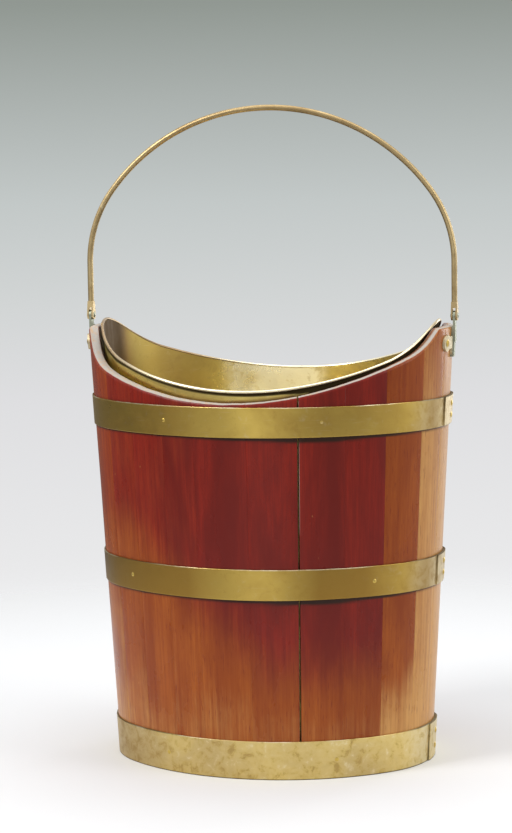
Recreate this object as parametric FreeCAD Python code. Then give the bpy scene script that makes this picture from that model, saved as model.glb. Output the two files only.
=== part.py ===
"""Oval brass-bound wooden peat bucket with a lift-out brass liner and a swinging bail handle."""
import FreeCAD
import Part

import math
import os
from collections import namedtuple

Vector = FreeCAD.Vector
UP = Vector(0, 0, 1)

# Oval wooden body, in millimetres: +Z is up, X is the long way and the floor is Z = 0
half_length = 152.0           # outer face at the floor
half_width = 114.5            # outer face at the floor
end_radius_share = 0.785      # radius of the round ends, of the half width
wall_flare = 22.56            # outward lean of the wall from the floor to the rim's ends
rim_low_height = 349.4        # lowest point of the rim
rim_sweep = 43.0              # how far the rim's scoop climbs over half the length
rim_shift_share = -0.07       # place of the lowest point along the half length
rim_end_rise = 62.6           # from the lowest point up to the level ends under the brackets
rim_level_angle = 18.0        # each side of the end, over which the rim is level
rim_fade_angle = 8.5          # over which the raised end falls to the scoop
rim_fade_power = 1.3
stave_thickness = 9.5
open_joint_gap = 1.0          # the one joint that has shrunk open
open_joint_number = 20        # its place in the joints below
# Directions of the stave joints, square to the wall, from the right end round by the back
stave_joint_angles = (-31.0, -13.0, 13.0, 37.0, 55.0, 68.0, 81.0, 94.0, 107.0, 120.0, 133.0,
                      156.5, 180.0, 203.5, 225.0, 236.3, 247.3, 256.9, 271.7, 285.5, 298.0, 309.7)

# Bottom boards in their groove
bottom_height = 14.0
bottom_thickness = 12.0
bottom_board_count = 3
groove_depth = 4.0
groove_clearance = 0.2

# Brass hoops, each one strip with its ends lapped and riveted at the right end
hoop_thickness = 1.4
hoop_seat_gap = 0.1
base_hoop_width = 36.5
middle_hoop_width = 28.5
middle_hoop_height = 169.8
upper_hoop_width = 27.7
upper_hoop_drop = 1.8         # from the rim's lowest point down to the hoop
hoop_lap_length = 36.0
rivet_radius = 1.6
rivet_head_radius = 3.0
rivet_head_height = 1.1
rivet_height_shares = (0.3, 0.7)
pin_radius = 0.9
pin_bite_share = 0.8          # of the wood left outside the groove
pin_head_radius = 1.9
pin_head_height = 0.5
upper_pin_span_share = 0.5
middle_pin_span_share = 0.85
base_pin_span_share = 0.6

# End brackets that carry the bail
wing_thickness = 2.0
bracket_seat_gap = 0.1
strap_thickness = 2.2
strap_half_width = 4.2
tongue_set = 1.04             # from the wall's rim out to the upright tongue
bracket_drop = 29.0           # from the rim's end down to the foot of the strap
wing_drop = 15.0
wing_offset = 22.0
wing_radius = 7.6
wing_waist_share = 0.75
foot_radius = 7.5
pivot_rise = 9.2              # from the rim's end up to the pivot
eye_radius = 4.6
pivot_clearance = 0.05
screw_radius = 1.7
screw_bite_share = 0.75       # of the stave's thickness
screw_head_radius = 3.6
screw_head_height = 1.2
screw_slot_width = 0.8
screw_slot_depth = 0.6

# Bail: a bent round rod with a forked end over each bracket's tongue
rod_radius = 2.8
bail_rise = 195.4             # pivot to the crown of the rod's centre line
bail_leg = 50.0               # straight part of each leg above the pivot
shoulder_share = 1.43
fork_height = 13.0            # pivot to the top of the fork
fork_slot_depth = 7.2
fork_side_gap = 0.25
fork_leaf = 1.7
fork_end_radius = 4.6
pin_shaft_radius = 2.0
pin_cap_radius = 3.0
pin_cap_height = 1.0

# Brass liner, with a rolled rim that stands above the wood
liner_sheet = 1.0
liner_gap = 4.0               # between the staves and the liner
liner_stand = 10.6            # rolled rim's centre above the wood, at their lowest points
liner_sweep = 37.0
liner_end_rise = 57.0
liner_fade_angle = 27.0
liner_fade_power = 2.0
roll_radius = 1.5
roll_seat_gap = 0.05
seam_lap_width = 14.0

# How far every cut runs past what it cuts, and how finely the rim's sweep is followed
overrun = 20.0
rim_steps = 24

# The oval: four arcs that meet without a corner
end_radius = end_radius_share * half_width
end_centre = half_length - end_radius
side_bulge = half_width - end_radius
side_centre = (end_centre ** 2 - side_bulge ** 2) / (2 * side_bulge)
side_radius = half_width + side_centre
corner_angle = math.degrees(math.atan2(side_centre, end_centre))

Arc = namedtuple("Arc", "centre radius start end")
RIGHT = Arc(Vector(end_centre, 0, 0), end_radius, -corner_angle, corner_angle)
BACK = Arc(Vector(0, -side_centre, 0), side_radius, corner_angle, 180 - corner_angle)
LEFT = Arc(Vector(-end_centre, 0, 0), end_radius, 180 - corner_angle, 180 + corner_angle)
FRONT = Arc(Vector(0, side_centre, 0), side_radius, 180 + corner_angle, 360 - corner_angle)
RIGHT_AGAIN = RIGHT._replace(start=RIGHT.start + 360, end=RIGHT.end + 360)
OVAL = (RIGHT, BACK, LEFT, FRONT)

# Heights and places that follow from the sizes above
rim_end_height = rim_low_height + rim_end_rise
lean = wall_flare / rim_end_height
upper_hoop_height = rim_low_height - upper_hoop_drop - upper_hoop_width
pivot_height = rim_end_height + pivot_rise
pivot_reach = half_length + wall_flare + tongue_set + strap_thickness / 2
pin_length = hoop_seat_gap + hoop_thickness + pin_bite_share * (stave_thickness - groove_depth)
screw_length = bracket_seat_gap + wing_thickness + screw_bite_share * stave_thickness
liner_face = -stave_thickness - liner_gap
liner_floor = bottom_height + bottom_thickness
liner_rim_low = rim_low_height + liner_stand

Rim = namedtuple("Rim", "low sweep shift end level fade power")
WOOD_RIM = Rim(rim_low_height, rim_sweep, rim_shift_share, rim_end_height,
               rim_level_angle, rim_fade_angle, rim_fade_power)
LINER_RIM = Rim(liner_rim_low, liner_sweep, 0, liner_rim_low + liner_end_rise,
                0, liner_fade_angle, liner_fade_power)


def across(angle):
    """Level direction straight out of the wall."""
    return Vector(math.cos(math.radians(angle)), math.sin(math.radians(angle)), 0)


def square_out(angle):
    """Direction square to the leaning outer face."""
    return (across(angle) - UP * lean).normalize()


def wall_point(arc, angle, offset, height):
    """Point at a level offset from the wall's outer face."""
    return arc.centre + across(angle) * (arc.radius + offset + lean * height) + UP * height


def joined(solids):
    """One solid from pieces that share faces."""
    return solids[0].multiFuse(solids[1:]).removeSplitter() if len(solids) > 1 else solids[0]


def wall_sector(arc, inner, outer, low, high, start, end):
    """Leaning piece of wall between two offsets, two heights and two joints."""
    def cone(offset):
        base = wall_point(arc, start, offset, low)
        top = wall_point(arc, start, offset, high)
        axis_low = arc.centre + UP * low
        axis_high = arc.centre + UP * high
        return Part.makeCone((base - axis_low).Length, (top - axis_high).Length, high - low,
                             axis_low, UP, end - start)
    sector = cone(outer).cut(cone(inner))
    sector.rotate(arc.centre, UP, start)
    return sector


def wall_ring(inner, outer, low, high):
    """Leaning wall all the way round."""
    return joined([wall_sector(arc, inner, outer, low, high, arc.start, arc.end) for arc in OVAL])


def oval_plate(offset, low, high):
    """Upright-edged oval plate whose edge lies at an offset from the wall's outer face at its foot."""
    edges = []
    for arc in OVAL:
        middle = (arc.start + arc.end) / 2
        points = [wall_point(arc, angle, offset, low) for angle in (arc.start, middle, arc.end)]
        edges.append(Part.Arc(*points).toShape())
    return Part.Face(Part.Wire(edges)).extrude(UP * (high - low))


def rim_height(rim, angle, along):
    """Height of a rim in a direction, at a share of the half length: a scoop with raised ends."""
    scoop = rim.low + rim.sweep * (along - rim.shift) ** 2
    from_end = abs((angle + 90) % 180 - 90)
    away = max(0, from_end - rim.level) / rim.fade
    return scoop + (rim.end - scoop) * math.exp(-away ** rim.power)


def rim_slab(arc, start, end, face, rim, lift, depth):
    """Slab that starts a lift above a rim and is level across the wall."""
    reach = wall_point(RIGHT, 0, 0, rim_low_height).x
    margin = math.degrees(overrun / arc.radius) / 2
    steps = range(rim_steps + 1)
    edges = []
    for side in (-overrun, overrun):
        points = []
        for step in steps:
            angle = start - margin + (end - start + 2 * margin) * step / rim_steps
            along = wall_point(arc, angle, 0, rim_low_height).x / reach
            point = wall_point(arc, angle, face + side, rim_low_height)
            point.z = rim_height(rim, angle, along) + lift
            points.append(point)
        curve = Part.BSplineCurve()
        curve.interpolate(Points=points, Parameters=list(steps))
        edges.append(curve.toShape())
    return Part.makeRuledSurface(*edges).extrude(UP * depth)


def rimmed(blank, arc, start, end, face, rim, lift):
    """Piece of wall cut off at a lift above a rim."""
    return blank.cut(rim_slab(arc, start, end, face, rim, lift, rim.end + overrun))


def domed_fastener(seat, out, shank_radius, shank_length, head_radius, head_height):
    """Round shank with a low domed head that sits on a face at the seat."""
    dome_radius = (head_radius ** 2 + head_height ** 2) / (2 * head_height)
    half_turn = math.asin(head_radius / dome_radius) / 2
    dome_middle = Vector(dome_radius * math.sin(half_turn), 0,
                         head_height - dome_radius * (1 - math.cos(half_turn)))
    tip = Vector(0, 0, -shank_length)
    crown = Vector(0, 0, head_height)
    brim = Vector(head_radius, 0, 0)
    outline = Part.makePolygon([crown, tip, tip + Vector(shank_radius, 0, 0),
                                Vector(shank_radius, 0, 0), brim])
    dome = Part.Arc(brim, dome_middle, crown).toShape()
    fastener = Part.Face(Part.Wire(outline.Edges + [dome])).revolve(Vector(0, 0, 0), UP, 360)
    fastener.Placement = FreeCAD.Placement(seat, FreeCAD.Rotation(UP, out))
    return fastener


def cut_by(solid, cutters):
    """Solid with a hole for each fastener that reaches it."""
    for cutter in cutters:
        if solid.BoundBox.intersect(cutter.BoundBox):
            solid = solid.cut(cutter)
    return solid


def mirrored(shape):
    """The same piece at the left end."""
    return shape.mirror(Vector(0, 0, 0), Vector(1, 0, 0))


def save(name, shape):
    shape.exportStep(f"parts/{name}.step")


def hoop_rivets(low, width):
    """Two rivets, one above the other, through a hoop's lap."""
    face = hoop_seat_gap + 2 * hoop_thickness
    rivets = []
    for share in rivet_height_shares:
        seat = wall_point(RIGHT, 0, face, low + share * width)
        rivets.append(domed_fastener(seat, square_out(0), rivet_radius, 2 * hoop_thickness,
                                     rivet_head_radius, rivet_head_height))
    return rivets


def hoop_pins(low, width, span_share):
    """Small pins through a hoop into the staves, two on each long side."""
    pins = []
    for arc in (BACK, FRONT):
        middle = (arc.start + arc.end) / 2
        for side in (-1, 1):
            angle = middle + side * span_share * (arc.end - arc.start) / 2
            seat = wall_point(arc, angle, hoop_seat_gap + hoop_thickness, low + width / 2)
            pins.append(domed_fastener(seat, square_out(angle), pin_radius, pin_length,
                                       pin_head_radius, pin_head_height))
    return pins


def hoop(low, width, fasteners):
    """Brass strip round the staves, with a lapped end."""
    ring = wall_ring(hoop_seat_gap, hoop_seat_gap + hoop_thickness, low, low + width)
    half_lap = math.degrees(hoop_lap_length / 2 / end_radius)
    lap = wall_sector(RIGHT, hoop_seat_gap + hoop_thickness, hoop_seat_gap + 2 * hoop_thickness,
                      low, low + width, -half_lap, half_lap)
    return cut_by(ring.fuse(lap).removeSplitter(), fasteners)


def bracket_screws():
    """Slotted screws in the two wings of the right bracket."""
    screws = []
    height = rim_end_height - wing_drop
    radius = wall_point(RIGHT, 0, 0, height).x - end_centre
    for side in (-1, 1):
        angle = side * math.degrees(math.asin(wing_offset / radius))
        out = square_out(angle)
        seat = wall_point(RIGHT, angle, bracket_seat_gap + wing_thickness, height)
        screw = domed_fastener(seat, out, screw_radius, screw_length,
                               screw_head_radius, screw_head_height)
        slot = Part.makeBox(2 * screw_head_radius, screw_slot_width, screw_slot_depth,
                            Vector(-screw_head_radius, -screw_slot_width / 2, -screw_slot_depth))
        slot.Placement = FreeCAD.Placement(seat + out * screw_head_height,
                                           FreeCAD.Rotation(UP, out))
        screws.append(screw.cut(slot))
    return screws


def bracket(screws):
    """Right bracket: a winged plate on the wall and a strap that stands up as the pivot's tongue."""
    foot = rim_end_height - bracket_drop
    wing_height = rim_end_height - wing_drop
    side = Vector(1, 0, 0)
    reach = 2 * half_length
    waist = wing_waist_share * wing_radius

    def disc(radius, y, z):
        return Part.makeCylinder(radius, reach, Vector(0, y, z), side)

    def bar(half, low, high):
        return Part.makeBox(reach, 2 * half, high - low, Vector(0, -half, low))

    outline = joined([bar(wing_offset, wing_height - waist, wing_height + waist),
                      disc(wing_radius, wing_offset, wing_height),
                      disc(wing_radius, -wing_offset, wing_height),
                      disc(foot_radius, 0, foot + foot_radius)])
    spread = math.degrees((wing_offset + wing_radius + overrun) / end_radius)

    def skin(thickness):
        return wall_sector(RIGHT, bracket_seat_gap, bracket_seat_gap + thickness,
                           foot - overrun, rim_end_height, -spread, spread)

    wings = skin(wing_thickness).common(outline)
    strap = skin(tongue_set + strap_thickness).common(bar(strap_half_width, foot, rim_end_height))
    tongue = Part.makeBox(strap_thickness, 2 * strap_half_width, pivot_height - wing_height,
                          Vector(pivot_reach - strap_thickness / 2, -strap_half_width, wing_height))
    eye_seat = Vector(pivot_reach - strap_thickness / 2, 0, pivot_height)
    eye = Part.makeCylinder(eye_radius, strap_thickness, eye_seat, side)
    bore = Part.makeCylinder(pin_shaft_radius + pivot_clearance, strap_thickness, eye_seat, side)
    return cut_by(joined([wings, strap, tongue, eye]).cut(bore), screws)


def pivot_pin():
    """Right pivot pin, with its ends spread over the fork's two leaves."""
    half = strap_thickness / 2 + fork_side_gap + fork_leaf
    seat = Vector(pivot_reach + half, 0, pivot_height)
    out = Vector(1, 0, 0)
    pin = domed_fastener(seat, out, pin_shaft_radius, 2 * half, pin_cap_radius, pin_cap_height)
    cap = domed_fastener(seat - out * (2 * half), out * -1, pin_shaft_radius, half,
                         pin_cap_radius, pin_cap_height)
    return pin.fuse(cap).removeSplitter()


def bail_rod():
    """Bent rod: two straight legs, two shoulder arcs and a crown arc, each tangent to the next."""
    spring = pivot_height + bail_leg
    rise = bail_rise - bail_leg
    shoulder = shoulder_share * pivot_reach * rise / (pivot_reach + rise)
    crown = (pivot_reach ** 2 - 2 * pivot_reach * shoulder + rise ** 2) / (2 * (rise - shoulder))
    shoulder_seat = Vector(pivot_reach - shoulder, 0, spring)
    crown_seat = Vector(0, 0, pivot_height + bail_rise - crown)
    turn = math.atan2(spring - crown_seat.z, shoulder_seat.x)

    def shoulder_point(angle):
        return shoulder_seat + Vector(math.cos(angle), 0, math.sin(angle)) * shoulder

    def flipped(point):
        return Vector(-point.x, point.y, point.z)

    foot = Vector(pivot_reach, 0, pivot_height + fork_slot_depth)
    right = [shoulder_point(0), shoulder_point(turn / 2), shoulder_point(turn)]
    left = [flipped(point) for point in reversed(right)]
    edges = [Part.LineSegment(foot, right[0]).toShape(),
             Part.Arc(*right).toShape(),
             Part.Arc(right[-1], crown_seat + UP * crown, left[0]).toShape(),
             Part.Arc(*left).toShape(),
             Part.LineSegment(left[-1], flipped(foot)).toShape()]
    section = Part.Wire(Part.makeCircle(rod_radius, foot, UP))
    return Part.Wire(edges).makePipeShell([section], True, False)


def bail_fork():
    """Right forked end: two leaves that widen downwards over the bracket's tongue."""
    half_foot = strap_thickness / 2 + fork_side_gap + fork_leaf
    half_slot = strap_thickness / 2 + fork_side_gap
    top = pivot_height + fork_height
    low = pivot_height - fork_end_radius
    corners = [Vector(pivot_reach + across_leaf, -fork_end_radius, height)
               for across_leaf, height in ((-half_foot, low), (half_foot, low),
                                           (rod_radius, top), (-rod_radius, top))]
    front_view = Part.Face(Part.makePolygon(corners + corners[:1]))
    taper = front_view.extrude(Vector(0, 2 * fork_end_radius, 0))
    side = Vector(1, 0, 0)
    start = Vector(pivot_reach - half_foot, 0, pivot_height)
    eye = Part.makeCylinder(fork_end_radius, 2 * half_foot, start, side)
    flank = [Vector(start.x, half, height)
             for half, height in ((-fork_end_radius, pivot_height), (fork_end_radius, pivot_height),
                                  (rod_radius, top), (-rod_radius, top))]
    neck = Part.Face(Part.makePolygon(flank + flank[:1])).extrude(side * (2 * half_foot))
    blank = taper.common(eye.fuse(neck).removeSplitter())
    slot = Part.makeBox(2 * half_slot, 2 * fork_end_radius, fork_end_radius + fork_slot_depth,
                        Vector(pivot_reach - half_slot, -fork_end_radius, low))
    bore = Part.makeCylinder(pin_shaft_radius, 2 * half_foot, start, side)
    return blank.cut(slot).cut(bore)


def liner_wall():
    """Leaning brass sheet up to the underside of the rolled rim, lapped at the left end."""
    low = liner_floor + liner_sheet
    high = LINER_RIM.end + overrun
    lift = -roll_radius - roll_seat_gap
    inner = liner_face - liner_sheet
    half_lap = math.degrees(seam_lap_width / 2 / end_radius)
    lap = wall_sector(LEFT, inner - liner_sheet, inner, low, high, 180 - half_lap, 180 + half_lap)
    pieces = []
    for arc in OVAL:
        blank = wall_sector(arc, inner, liner_face, low, high, arc.start, arc.end)
        if arc is LEFT:
            blank = joined([blank, lap])
        pieces.append(rimmed(blank, arc, arc.start, arc.end, inner, LINER_RIM, lift))
    return joined(pieces)


def liner_rolled_rim():
    """Edge rolled outwards, flush with the inside of the liner's wall."""
    inner = liner_face - liner_sheet
    middle = inner + roll_radius
    top = LINER_RIM.end + overrun
    pieces = []
    for arc in OVAL:
        band = wall_sector(arc, inner, middle + roll_radius, liner_rim_low - overrun, top,
                           arc.start, arc.end)
        pieces.append(band.common(rim_slab(arc, arc.start, arc.end, middle, LINER_RIM,
                                           -roll_radius, 2 * roll_radius)))
    return joined(pieces)


def bottom_boards():
    """Oval bottom in boards that lie along the bucket."""
    plate = oval_plate(groove_depth - stave_thickness - groove_clearance,
                       bottom_height, bottom_height + bottom_thickness)
    box = plate.BoundBox
    width = box.YLength / bottom_board_count
    boards = []
    for number in range(bottom_board_count):
        blank = Part.makeBox(box.XLength, width, box.ZLength,
                             Vector(box.XMin, box.YMin + number * width, box.ZMin))
        boards.append(plate.common(blank))
    return boards


def stave(start, end, fasteners):
    """One stave between two joints, with the groove for the bottom and its fasteners' holes."""
    pieces = []
    for arc in OVAL + (RIGHT_AGAIN,):
        low = max(start, arc.start)
        high = min(end, arc.end)
        if low < high:
            blank = wall_sector(arc, -stave_thickness, 0, 0, rim_end_height + overrun, low, high)
            pieces.append(rimmed(blank, arc, low, high, -stave_thickness / 2, WOOD_RIM, 0))
    groove = oval_plate(groove_depth - stave_thickness, bottom_height, bottom_height + bottom_thickness)
    return cut_by(joined(pieces).cut(groove), fasteners)


os.makedirs("parts", exist_ok=True)

hoops = {"base_hoop": (0, base_hoop_width, base_pin_span_share),
         "middle_hoop": (middle_hoop_height, middle_hoop_width, middle_pin_span_share),
         "upper_hoop": (upper_hoop_height, upper_hoop_width, upper_pin_span_share)}
pins = []
for name, (low, width, span_share) in hoops.items():
    rivets = hoop_rivets(low, width)
    own_pins = hoop_pins(low, width, span_share)
    pins += own_pins
    save(name, hoop(low, width, rivets + own_pins))
    save(f"{name}_rivets", Part.makeCompound(rivets))
save("hoop_pins", Part.makeCompound(pins))

right_screws = bracket_screws()
left_screws = [mirrored(screw) for screw in right_screws]
right_bracket = bracket(right_screws)
save("right_bracket", right_bracket)
save("left_bracket", mirrored(right_bracket))
save("right_bracket_screws", Part.makeCompound(right_screws))
save("left_bracket_screws", Part.makeCompound(left_screws))

half_gap = math.degrees(open_joint_gap / 2 / side_radius)
next_angles = stave_joint_angles[1:] + (stave_joint_angles[0] + 360,)
for number, (start, end) in enumerate(zip(stave_joint_angles, next_angles), 1):
    start += half_gap if number == open_joint_number else 0
    end -= half_gap if number + 1 == open_joint_number else 0
    save(f"stave_{number:02d}", stave(start, end, pins + right_screws + left_screws))

for number, board in enumerate(bottom_boards(), 1):
    save(f"bottom_board_{number}", board)

right_fork = bail_fork()
save("bail_handle", joined([bail_rod(), right_fork, mirrored(right_fork)]))
right_pin = pivot_pin()
save("right_pivot_pin", right_pin)
save("left_pivot_pin", mirrored(right_pin))

save("liner_bottom", oval_plate(liner_face, liner_floor, liner_floor + liner_sheet))
save("liner_wall", liner_wall())
save("liner_rolled_rim", liner_rolled_rim())
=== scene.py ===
"""Looks of an oval peat bucket: mahogany staves, brass hoops, brass liner and brass bail handle."""
import math

import bmesh
import bpy
from bpy.props import FloatProperty, FloatVectorProperty, PointerProperty
from mathutils import Euler, Matrix, Vector, noise


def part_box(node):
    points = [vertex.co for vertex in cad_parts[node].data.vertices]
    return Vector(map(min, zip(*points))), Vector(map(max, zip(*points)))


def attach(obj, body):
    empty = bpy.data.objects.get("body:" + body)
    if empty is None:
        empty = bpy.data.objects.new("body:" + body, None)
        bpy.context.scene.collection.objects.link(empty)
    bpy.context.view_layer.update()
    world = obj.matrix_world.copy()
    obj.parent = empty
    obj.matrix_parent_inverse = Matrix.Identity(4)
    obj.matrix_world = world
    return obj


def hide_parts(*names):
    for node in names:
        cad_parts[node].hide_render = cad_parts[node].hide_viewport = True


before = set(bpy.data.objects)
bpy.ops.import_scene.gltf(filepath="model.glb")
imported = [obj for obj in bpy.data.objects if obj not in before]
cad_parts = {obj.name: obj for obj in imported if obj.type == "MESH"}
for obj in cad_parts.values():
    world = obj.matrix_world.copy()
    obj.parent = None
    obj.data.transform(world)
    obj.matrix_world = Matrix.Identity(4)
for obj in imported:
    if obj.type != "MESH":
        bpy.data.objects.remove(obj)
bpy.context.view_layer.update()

bl_info = {
    "name": "Peat Bucket",
    "version": (1, 0, 0),
    "blender": (4, 5, 0),
    "location": "3D View > Sidebar > Peat Bucket",
    "description": "Dresses the frame of an oval peat bucket in polished wood and aged brass",
    "category": "Object",
}

UP = Vector((0, 0, 1))
FULL_TURN = 2 * math.pi

# Directions of the stave joints in degrees, square to the wall, from the right end round by the back
STAVE_JOINTS = (-31.0, -13.0, 13.0, 37.0, 55.0, 68.0, 81.0, 94.0, 107.0, 120.0, 133.0,
                156.5, 180.0, 203.5, 225.0, 236.3, 247.3, 256.9, 271.7, 285.5, 298.0, 309.7)
OPEN_JOINT = 20

# How far each stave has faded from red to tan, and the height below which it has faded to brown. The pale
# tan of the first two staves, at the right end, is partly fading and partly painted sheen
STAVE_FADES_AND_SHEEN = (0.94, 1.06, 0.55, 0.30, 0.12, 0.20, 0.05, 0.15, 0.10, 0.25, 0.35,
               0.45, 0.44, 0.32, 0.16, 0.10, 0.10, 0.04, 0.06, 0.00, 0.03, 0.60)
FADE_LINES = (0.15, 0.16, 0.15, 0.13, 0.11, 0.10, 0.12, 0.09, 0.10, 0.12, 0.14,
              0.17, 0.21, 0.225, 0.22, 0.20, 0.17, 0.13, 0.095, 0.085, 0.10, 0.095)

# Staves whose first joint shows a chalky line above the upper hoop
CHALKED = (17, 21)

# Directions round the bucket, in radians from the right end round by the back
HOOP_FRONT = 1.5 * math.pi + 0.10
LINER_SEAM = math.pi
WOOD_SHADE = 5.06

# Lengths of the faces along the wall, in metres, and sides of the round pieces
STAVE_STEP, HOOP_STEP, WALL_STEP, ROLL_STEP = 0.004, 0.003, 0.0028, 0.0025
ROD_SIDES, ROLL_SIDES = 20, 16
DOUBLED = 1e-7

# Extra rows of points on the staves, from a hoop's lower edge and from its upper edge
ROWS_AT_FOOT = (-0.006, -0.0035, -0.002, -0.0005, 0.003)
ROWS_AT_TOP = (0, 0.0012)

# Stains inside the liner: direction, half width of the full stain, half width to its end, strength
LINER_STAINS = ((LINER_SEAM, 0.30, 0.62, 0.88), (2.18, 0.10, 0.28, 0.26), (1.30, 0.08, 0.20, 0.30))
# Paler places inside the liner, partly polish and partly painted highlight: direction, half width of the
# full polish, half width to its end
LINER_POLISH_AND_HIGHLIGHT = ((1.69, 0.16, 0.32), (4.66, 0.40, 0.62))

# Colours of the backdrop on the way up, each with its share of the way
BACKDROP = ((0.0, (0.90, 0.90, 0.90)), (0.275, (0.84, 0.84, 0.845)), (0.4825, (0.735, 0.735, 0.75)),
            (0.58, (0.645, 0.665, 0.665)), (0.68, (0.545, 0.58, 0.575)), (0.875, (0.285, 0.315, 0.29)),
            (1.0, (0.20, 0.22, 0.205)))

# Lamps: name, place, aim, width and height in metres, power in watts
LAMPS = (("key_light", (-1.9, -1.7, 2.3), (0, 0, 0.3), 1.1, 1.1, 52),
         ("right_light", (2.1, -0.5, 1.6), (0, 0, 0.3), 1.0, 1.8, 16),
         ("top_light", (0.1, 0.2, 2.6), (0, 0, 0.3), 2.0, 2.0, 30),
         ("edge_light", (1.25, 2.3, 0.75), (0.1, 0, 0.2), 0.7, 1.4, 12))


def size(label, about, default):
    """Length property in metres."""
    return FloatProperty(name=label, description=about, default=default, unit="LENGTH", precision=5)


def share(label, about, default):
    """Plain number property."""
    return FloatProperty(name=label, description=about, default=default, precision=4)


def colour(label, about, default):
    """Linear colour property."""
    return FloatVectorProperty(name=label, description=about, default=default, size=3,
                               subtype="COLOR", min=0, max=1)


def place(label, about, default):
    """Point property in metres."""
    return FloatVectorProperty(name=label, description=about, default=default, size=3,
                               subtype="TRANSLATION", unit="LENGTH")


class BucketBody(bpy.types.PropertyGroup):
    """Sizes of the wooden body."""
    half_length: size("Half length", "Outer face at the floor, the long way", 0.152)
    half_width: size("Half width", "Outer face at the floor, the short way", 0.1145)
    end_radius: size("End radius", "Radius of the round ends at the floor", 0.0898825)
    flare: size("Flare", "Outward lean from the floor to the rim's ends", 0.02256)
    rim_low: size("Rim height", "Lowest point of the rim", 0.3508)
    rim_sweep: size("Rim sweep", "How far the rim's scoop climbs over half the length", 0.043)
    rim_shift: share("Rim shift", "Place of the lowest point along the half length", -0.07)
    rim_end: size("Rim ends", "From the lowest point up to the level ends", 0.0612)
    rim_level: share("Rim level", "Degrees each side of an end over which the rim is level", 18.0)
    rim_fade: share("Rim fade", "Degrees over which a raised end falls to the scoop", 8.5)
    rim_power: share("Rim power", "How late a raised end falls to the scoop", 1.3)
    thickness: size("Stave thickness", "Wood from face to face", 0.0095)
    rim_round: size("Rim rounding", "Radius of the rim's worn outer edge", 0.0036)
    inner_round: size("Inner rounding", "Radius of the rim's inner edge", 0.0022)
    joint_round: size("Joint rounding", "Radius of the staves' long edges", 0.00014)
    open_round: size("Open joint rounding", "Radius of the edges of the open joint", 0.0006)
    open_gap: size("Open joint", "Width of the joint that has shrunk open", 0.001)
    groove_low: size("Groove height", "Foot of the bottom's groove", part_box("bottom_board_1")[0].z)
    groove_high: size("Groove top", "Top of the bottom's groove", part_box("bottom_board_1")[1].z)
    groove_depth: size("Groove depth", "Depth of the bottom's groove", 0.004)
    wave: size("Unevenness", "How far the planed faces wander", 0.00015)
    # Painted shadow on the wood under the hoops: its height all round, and what is added in front
    shade: size("Shade", "Height of the dirt and shade under the hoops", 0.0012)
    front_shade: size("Front shade", "What is added to it in front, where they stand off", 0.0024)


class BucketHoops(bpy.types.PropertyGroup):
    """Sizes of the three hoops."""
    thickness: size("Strip thickness", "Brass strip from face to face", 0.00136)
    seat_gap: size("Seat gap", "Between the wood and the strip", 0.0001)
    lap: size("Lap", "Length of the riveted lap", 0.036)
    lap_ramp: size("Lap ramp", "Length over which the strip climbs on to its own end", 0.008)
    edge_round: size("Edge rounding", "Radius of the strip's edges", 0.00045)
    edge_band: size("Edge band", "Height of the rubbed band under the top edge", 0.0011)
    edge_wander: size("Edge unevenness", "How far the cut edges wander", 0.00035)
    face_wander: size("Face unevenness", "How far the faces wander", 0.00016)
    upper_bow: size("Upper bow", "How far the upper hoop's lower edge stands off in front", 0.0014)
    middle_bow: size("Middle bow", "How far the middle hoop's lower edge stands off in front", 0.0022)


class BucketLiner(bpy.types.PropertyGroup):
    """Sizes of the lift-out liner."""
    sheet: size("Sheet", "Brass sheet from face to face", 0.001)
    gap: size("Gap", "Between the wood and the liner", 0.004)
    stand: size("Stand", "Rolled rim's middle above the wood", 0.0092)
    sweep: size("Sweep", "How far the rim's scoop climbs over half the length", 0.037)
    end_rise: size("End rise", "From the lowest point up to the ends", 0.057)
    fade: share("Fade", "Degrees over which a raised end falls to the scoop", 27.0)
    power: share("Power", "How late a raised end falls to the scoop", 2.0)
    roll: size("Roll radius", "Radius of the rolled rim", 0.0015)
    seam: size("Seam", "Width of the lapped seam", 0.014)
    wander: size("Unevenness", "How far the beaten sheet wanders", 0.0006)
    dent: size("Dent", "Depth of the dent in the back wall", 0.0012)
    dent_size: size("Dent size", "Half width of the dent", 0.008)
    dent_height: size("Dent height", "Dent above the floor", 0.342)
    dent_turn: FloatProperty(name="Dent place", description="Direction of the dent", default=1.817,
                             subtype="ANGLE")
    foot: size("Foot", "Underside of the wall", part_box("liner_wall")[0].z)
    # Painted shadow on the liner's outer face under the rolled rim: its height, and what is added on the
    # right and at the left end
    shade: size("Shade", "Height of the dark line under the rolled rim", 0.0027)
    right_shade: size("Right shade", "What is added to it on the right", 0.009)
    left_shade: size("Left shade", "What is added to it at the left end", 0.004)


class BucketBail(bpy.types.PropertyGroup):
    """Sizes of the bail handle."""
    reach: size("Reach", "Pivot from the middle", 0.1767)
    pivot: size("Pivot height", "Pivot above the floor", 0.4212)
    rise: size("Rise", "Pivot to the crown of the rod", 0.1954)
    leg: size("Leg", "Straight part of each leg", 0.05)
    shoulder: share("Shoulder share", "Radius of the shoulders, of the largest that fits", 1.43)
    rod: size("Rod radius", "Radius of the round rod", 0.0028)
    patina: size("Patina height", "Height above the pivots from which the rod darkens", 0.09)
    fork_top: size("Fork height", "Pivot to the top of the fork", 0.013)
    slot_top: size("Slot height", "Pivot to the top of the fork's slot", 0.0072)
    slot_half: size("Half slot", "Half the fork's slot", 0.00135)
    leaf: size("Leaf", "Thickness of each leaf", 0.0017)
    eye: size("Eye radius", "Radius of the leaves' round ends", 0.0046)


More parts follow.
